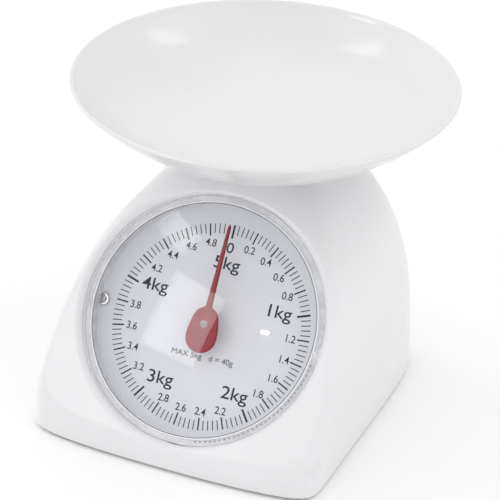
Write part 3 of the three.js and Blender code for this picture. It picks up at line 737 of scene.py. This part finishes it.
def lens_dome():
    """A shallow clear dome with a rounded edge."""
    edge, low, top = LENS_EDGE, LENS_EDGE_LOW, LENS_APEX - LENS_THICKNESS
    outside = [(r, dome(r, edge, LENS_EDGE_TOP, LENS_APEX))
               for r in np.linspace(edge - 0.7, 3, 26)]
    inside = [(r, dome(r, edge - 1, low, top)) for r in np.linspace(3, edge - 1, 26)]
    profile = (
        [(edge - 0.2, low), (edge, low + 0.2), (edge, low + 1.5), (edge - 0.2, low + 2)] + outside
        + [(0, LENS_APEX), (0, top)] + inside
    )
    lens = dial_lathe("dial_lens_dome", profile, MAT["lens"], LENS_SIDES, crease=55)
    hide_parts("dial_lens")


def lens_rings():
    """A near-white bead around the dome's edge, a painted highlight, and inside it a dark ring,
    painted shade.
    """
    # The near-white bead is a painted highlight along the dome's edge.
    highlight_bead = [(LENS_EDGE - 0.1 + r, z) for r, z in arc(0, LENS_EDGE_TOP - 0.25, 0.36, 0, 330, 11)]
    dial_lathe("dial_lens_highlight_bead", highlight_bead, MAT["highlight_bead"], LENS_SIDES)
    # The dark grey ring is painted shade inside that highlight.
    shade_ring = [(LENS_EDGE - 0.75 + r, z) for r, z in arc(0, LENS_EDGE_TOP + 0.05, 0.2, 0, 315, 7)]
    dial_lathe("dial_lens_shade_ring", shade_ring, MAT["rib"], LENS_SIDES)


def lens_rim():
    """The cloudier rim that holds the dome: a flange on top of a skirt."""
    outer, inner, foot, top = RIM_OUTER, RIM_INNER, RIM_FOOT, RIM_TOP
    section = [(inner, foot + 0.3), (inner + 0.3, foot), (outer - 0.3, foot), (outer, foot + 0.3),
               (outer, top - 0.5), (outer - 0.3, top), (inner + 0.2, top), (inner, top - 0.2)]
    rim = dial_lathe("dial_lens_rim", section, MAT["lens_rim"], LENS_SIDES)


def rim_ribs():
    """A row of small square ribs along the rim's top, on the lower right."""
    radius, size = 65.2, 0.8
    middle = np.array([0, DIAL_OFFSET])
    reach = (radius - size / 2, radius + size / 2)
    blocks = [(middle, math.radians(degrees), reach, size) for degrees in np.arange(-78, -6, 2.4)]
    # The clear rim's ribs are dark grey: painted shade for the dark dots along it.
    ribs = dial_blocks("dial_lens_ribs", blocks, RIM_TOP + 0.02, RIM_TOP + 0.3, MAT["rib"])


def dial_screws():
    """Round heads with turned rings around a small knob, on plain shanks."""
    head = [(0, 1.1), (0.5, 1.1), (0.7, 0.5), (1.1, 0.5), (1.3, 1.3), (1.75, 1.35), (1.9, 0.3),
            (2.4, 0.3), (2.6, 1.4), (3.2, 1.4), (3.6, 1.0), (3.78, 0.45), (3.8, 0.02)]
    shank = [(1.2, 0.0), (1.2, -7.0), (0.2, -7.5), (0, -7.5)]
    raised = [(r, z + 0.3) for r, z in head + shank]
    screw_x = 63.8
    for side, name in ((-1, "left"), (1, "right")):
        screw = lathe(f"dial_screw_head_{name}", raised, MAT["zinc"], 56, (side * screw_x, 0),
                      DIAL_FRAME)
        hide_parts(f"dial_screw_{name}")


# ------------------------------------------------------------------------------ pointer
POINTER_LEAN = math.radians(0.8)  # the pointer stands this far short of the card's top
POINTER_LOW, POINTER_HIGH = 9.5, 11.0


def pointer_outline():
    """Half of the outline, from the tip down the right side to the bottom."""
    points = [(0.0, 54.5), (0.5, 54.2)]
    points += [(0.75 + 0.95 * t, 53.6 - 43.8 * t) for t in np.linspace(0, 1, 16)]
    shoulder = [(2.4, 9.0), (3.5, 8.5), (4.7, 7.7), (5.7, 6.6), (6.5, 5.2), (7.1, 3.6), (7.6, 1.6),
                (8.0, -0.6), (8.4, -3.0), (8.64, -5.2)]
    return points + shoulder + arc(0, -7.1, 8.7, 0, -90, 16)


def pointer():
    """A moulded blade and hub with slightly crowned faces, on a sleeve that grips the arbor."""
    half = pointer_outline()
    shape = np.array(half + [(-x, y) for x, y in half[-2:0:-1]])
    forward = np.roll(shape, -1, 0) - np.roll(shape, 1, 0)
    outward = np.stack([-forward[:, 1], forward[:, 0]], 1)
    outward /= np.linalg.norm(outward, axis=1)[:, None]
    # How far each layer is drawn in, and its height.
    layers = [(0.0, POINTER_LOW), (0.0, POINTER_HIGH - 0.45), (0.12, POINTER_HIGH - 0.2),
              (0.4, POINTER_HIGH - 0.05), (0.8, POINTER_HIGH)]
    verts = []
    for inset, z in layers:
        # The thin blade's sides stop just short of each other.
        reach = np.minimum(inset, np.maximum(np.abs(shape[:, 0]) - 0.05, 0))
        verts += [(x, y, z) for x, y in shape - outward * reach[:, None]]
    count = len(shape)
    faces = ring_faces(len(layers), count)
    faces.append(tuple(range(count))[::-1])
    faces.append(tuple((len(layers) - 1) * count + k for k in range(count)))
    place = DIAL_FRAME @ Matrix.Rotation(POINTER_LEAN, 4, "Z")
    blade = make("pointer_blade", verts, faces, MAT["pointer"], True, place, "pointer_spindle")
    recalculate(blade)
    sharpen(blade, 30)
    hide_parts("pointer")
    tube = [(1.5, 4.5), (2.8, 4.5), (3.0, 4.7), (3.0, POINTER_LOW + 0.1), (1.5, POINTER_LOW + 0.1)]
    sleeve = lathe("pointer_sleeve", tube, MAT["pointer"], 40, (0, 0), DIAL_FRAME,
                   "pointer_spindle")
    top = POINTER_HIGH + 0.08
    cap = [(0, top), (1.9, top), (2.1, top - 0.04), (2.15, top - 0.3), (0, top - 0.3)]
    boss = lathe("arbor_end", cap, MAT["arbor_end"], 40, (0, 0), DIAL_FRAME, "pointer_spindle")


# ------------------------------------------------------------------------------ bowl
BOWL_RADIUS, RIM_HEIGHT = 105.0, 179.2
FOOT_RADIUS, FOOT_HEIGHT = 64.0, 149.7  # the outer edge of the ring that the bowl stands on
WALL_REACH, WALL_RISE, WALL_POWER = 40.0, 27.9, 1.21  # the wall's curve, out and up from the foot


def bowl_outside(r):
    """Height of the bowl's outer wall; inside the foot it carries on as a straight slope."""
    if r <= FOOT_RADIUS:
        return FOOT_HEIGHT - 0.6 * (FOOT_RADIUS - r)
    out = (r - FOOT_RADIUS) / WALL_REACH
    return FOOT_HEIGHT + WALL_RISE * (1 - (1 - out**WALL_POWER) ** (1 / WALL_POWER))


def bowl_inside(r):
    """Height of the inner face: the floor and the wall, blended into each other."""
    wall, reach = bowl_outside(r) + 2.8, 12.0
    near = max(reach - abs(wall - FLOOR_HEIGHT), 0) / reach
    return max(wall, FLOOR_HEIGHT) + near**2 * reach / 4


def bowl():
    foot, under, lip_radius = FOOT_HEIGHT, FLOOR_HEIGHT - 2.2, 1.1
    radii = FOOT_RADIUS + WALL_REACH * np.linspace(0.03, 0.999, 40) ** 1.3
    outside = [(r, bowl_outside(r)) for r in radii]
    inside = [(r, bowl_inside(r)) for r in np.linspace(102.0, 46, 60)]
    lip = arc(BOWL_RADIUS - lip_radius, RIM_HEIGHT - lip_radius, lip_radius, -70, 100, 10)
    profile = (
        [(0, under), (59.0, under), (59.6, under - 0.3), (60.0, foot + 0.5), (60.5, foot),
         (63.2, foot), (63.8, foot + 0.1)]
        + outside + lip + [(BOWL_RADIUS - 2.2, RIM_HEIGHT - 0.3)] + inside + [(0, FLOOR_HEIGHT)]
    )
    dish = lathe("bowl_dish", profile, MAT["bowl"], 224, (0, BOWL_Y), None, "bowl_body")
    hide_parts("bowl")


def platform():
    """A disc with rounded edges, a recess for its screw and a collar that sits on the post."""
    top, under, radius, edge = 151.4, 148.2, 57.0, 0.9
    recess = [(0, top - 2), (4.4, top - 2), (4.6, top - 1.9), (4.6, top - 0.2), (4.8, top)]
    collar = [(13.9, under), (13.3, under - 0.5), (13.2, under - 5.2), (12.8, under - 5.7),
              (10.6, under - 5.7), (10.3, under - 5.4), (10.3, under), (0, under)]
    profile = (
        recess + [(radius - 1, top)] + arc(radius - edge, top - edge, edge, 90, 0, 5)
        + arc(radius - edge, under + edge, edge, 0, -90, 5) + collar
    )
    plate = lathe("platform_disc", profile, MAT["housing"], 128, (0, BOWL_Y), None,
                  "load_carrier")
    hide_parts("platform")


# ------------------------------------------------------------------------------ underside, rear
def feet():
    """Rubber pads with a dished underside, on a stem with a barb."""
    pad = [(0, 0.15), (4.6, 0.15), (4.9, 0), (5.8, 0), (6.3, 0.2), (6.5, 0.7), (6.5, 1.3)]
    stem = [(1.8, 1.3), (1.8, 4.1), (2.7, 4.1), (2.4, 4.6), (1.7, 5.1), (0, 5.2)]
    for end in ("front", "rear"):
        for side in ("left", "right"):
            low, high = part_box(f"foot_{end}_{side}")
            x, y = (low[0] + high[0]) / 2 / MM, (low[1] + high[1]) / 2 / MM
            foot = lathe(f"foot_pad_{end}_{side}", pad + stem, MAT["rubber"], 48, (x, y))
            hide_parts(f"foot_{end}_{side}")


def thumbwheel():
    """The zero-setting wheel: a disc with rounded ribs on its rim."""
    centre_y, low = 53.1, 20.0
    ribs, steps, rib_height = 48, 8, 0.85
    columns = ribs * steps
    profile = [(2.02, 0.0), (18.6, 0.0), (19.4, 0.35), (20.0, 0.9), (20.0, 6.1), (19.4, 6.65),
               (18.6, 7.0), (2.02, 7.0)]
    verts = []
    for r, z in profile:
        for k in range(columns):
            a = 2 * math.pi * k / columns
            rib = rib_height * abs(math.cos(math.pi * k / steps)) ** 0.8 if r > 19 else 0
            verts.append(((r + rib) * math.cos(a), centre_y + (r + rib) * math.sin(a), low + z))
    wheel = make("zero_thumbwheel", verts, ring_faces(len(profile), columns, True),
                 MAT["housing"], True, None, "zero_adjuster")
    recalculate(wheel)
    sharpen(wheel, 38)
    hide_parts("zero_wheel")


def springs():
    """Compression springs of round wire, whose turns lie a little flatter towards the ends."""
    low, high, wire, radius, turns = 14.4, 66.6, 0.8, 7.0, 9.5
    spring_x, steps, around = 35.0, 380, 10
    for side, name in ((-1, "left"), (1, "right")):
        centre = (side * spring_x, BOWL_Y)
        path = []
        for i in range(steps + 1):
            t = i / steps
            rise = 0.75 * t + 0.25 * (0.5 - 0.5 * math.cos(math.pi * t))
            a = 2 * math.pi * turns * t
            z = low + wire + (high - low - 2 * wire) * rise
            path.append((centre[0] + radius * math.cos(a), centre[1] + radius * math.sin(a), z, a))
        verts = []
        for x, y, z, a in path:
            for k in range(around):
                b = 2 * math.pi * k / around
                out = wire * math.cos(b)
                verts.append((x + out * math.cos(a), y + out * math.sin(a), z + wire * math.sin(b)))
        faces = ring_faces(steps + 1, around)
        faces.append(tuple(range(around))[::-1])
        faces.append(tuple(steps * around + k for k in range(around)))
        coil = make(f"spring_coil_{name}", verts, faces, MAT["spring"], True, None, HOUSING)
        recalculate(coil)
        sharpen(coil, 50)
        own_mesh(coil)
        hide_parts(f"spring_{name}")


# The CAD's own pieces that stay as they are, and their materials.
CARRIED_OVER = {
    "base_plate": "inside", "carriage": "nylon", "rack": "sheet", "movement_bracket": "sheet",
    "main_frame": "sheet", "upper_link": "sheet", "lower_link": "sheet", "spring_seat": "sheet",
    "pinion_arbor": "brass", "front_bush": "brass", "rear_bush": "brass",
    "upper_carriage_pin": "pin", "lower_carriage_pin": "pin", "upper_frame_pin": "pin",
    "lower_frame_pin": "pin", "zero_screw": "zinc", "platform_screw": "zinc",
    "rack_screw": "zinc", "frame_screw_left": "zinc", "frame_screw_right": "zinc",
    "base_screw_front_left": "zinc", "base_screw_front_right": "zinc",
    "base_screw_rear_left": "zinc", "base_screw_rear_right": "zinc",
}


def dress_cad_nodes():
    """Gives the CAD pieces that are kept their materials."""
    for node, material in CARRIED_OVER.items():
        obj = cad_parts[node]
        obj.data.materials.clear()
        obj.data.materials.append(MAT[material])


# ------------------------------------------------------------------------------ stage
def floor():
    """A plain square, 12 m wide."""
    mesh = bpy.data.meshes.new("floor")
    mesh.from_pydata([(-6, -6, 0), (6, -6, 0), (6, 6, 0), (-6, 6, 0)], [], [(0, 1, 2, 3)])
    mesh.materials.append(MAT["floor"])
    obj = bpy.data.objects.new("floor", mesh)
    bpy.context.scene.collection.objects.link(obj)


def area_light(name, radiance, size, position, target, turn=0.0, shape="RECTANGLE",
               lights_matte=True, mirrored=True):
    """A flat light of a given brightness, turned about its own axis by some degrees.

    It can be kept from lighting matt surfaces, or from showing in glossy ones.
    """
    data = bpy.data.lights.new(name, "AREA")
    data.energy = math.pi * radiance * size[0] * size[1]
    data.shape = shape
    data.size, data.size_y = size
    obj = bpy.data.objects.new(name, data)
    direction = Vector(target) - Vector(position)
    facing = direction.to_track_quat("-Z", "Y").to_matrix().to_4x4()
    facing = facing @ Matrix.Rotation(math.radians(turn), 4, "Z")
    obj.matrix_world = Matrix.Translation(position) @ facing
    obj.visible_diffuse = lights_matte
    obj.visible_glossy = mirrored
    bpy.context.scene.collection.objects.link(obj)


def lights():
    """An even white surround, the panels that the lens and the bowl mirror, and two soft fills."""
    world = bpy.data.worlds.new("studio")
    world.use_nodes = True
    background = world.node_tree.nodes["Background"]
    background.inputs["Color"].default_value = (1.0, 1.0, 1.0, 1)
    background.inputs["Strength"].default_value = 0.94
    bpy.context.scene.world = world
    dial, dish = DIAL_CENTRE, (0, BOWL_Y * MM, 0.167)
    area_light("left_softbox", 5.2, (0.42, 0.5), (-0.563, -1.051, 0.816), dial, 4,
               lights_matte=False)
    area_light("window_wedge", 4.6, (0.3, 0.24), (-0.78, -0.6, 1.2), dial, 10,
               lights_matte=False)
    area_light("bare_lamp", 150, (0.028, 0.028), (-0.001, -1.12, 0.93), dial, 0, "DISK")
    # Each of these stands across the bowl from where its glint shows.
    area_light("bowl_glint_left", 2.0, (0.24, 0.42), (0.62, 0.63, 1.51), dish, 0, "ELLIPSE")
    area_light("bowl_glint_right", 2.0, (0.24, 0.42), (-0.84, 0.07, 1.5), dish, 0, "ELLIPSE")
    area_light("left_fill", 1.4, (1.2, 1.2), (-1.5, 0.1, 0.6), dish, mirrored=False)
    area_light("right_fill", 1.0, (1.0, 1.0), (0.95, 0.0, 1.6), dish, mirrored=False)


def camera():
    """A long lens, to the right of the dial and above it, rolled a little."""
    unit = TICK_RADIUS * MM
    aim, distance = Vector((0.376, 0, 0.938)), 24.27  # from the dial's centre, in tick radii
    yaw, rise, roll = math.radians(22.33), math.radians(29.51), math.radians(2.44)
    back = Vector((math.sin(yaw) * math.cos(rise), -math.cos(yaw) * math.cos(rise),
                   math.sin(rise)))
    right = Vector((math.cos(yaw), math.sin(yaw), 0))
    up = back.cross(right)
    data = bpy.data.cameras.new("camera")
    data.lens = 187.2
    data.sensor_width = 36
    data.dof.use_dof = False
    data.clip_start, data.clip_end = 0.05, 30
    obj = bpy.data.objects.new("camera", data)
    x_axis = math.cos(roll) * right + math.sin(roll) * up
    y_axis = -math.sin(roll) * right + math.cos(roll) * up
    matrix = Matrix((x_axis, y_axis, back)).transposed().to_4x4()
    matrix.translation = DIAL_CENTRE + aim * unit + back * distance * unit
    obj.matrix_world = matrix
    bpy.context.scene.collection.objects.link(obj)
    bpy.context.scene.camera = obj


camera()
lights()
floor()
bpy.context.scene.view_settings.view_transform = "Standard"
housing_shell()
dial_well()
dial_card()
tick_marks()
dial_numbers()
lens_dome()
lens_rings()
lens_rim()
rim_ribs()
dial_screws()
pointer()
bowl()
platform()
feet()
thumbwheel()
springs()
dress_cad_nodes()
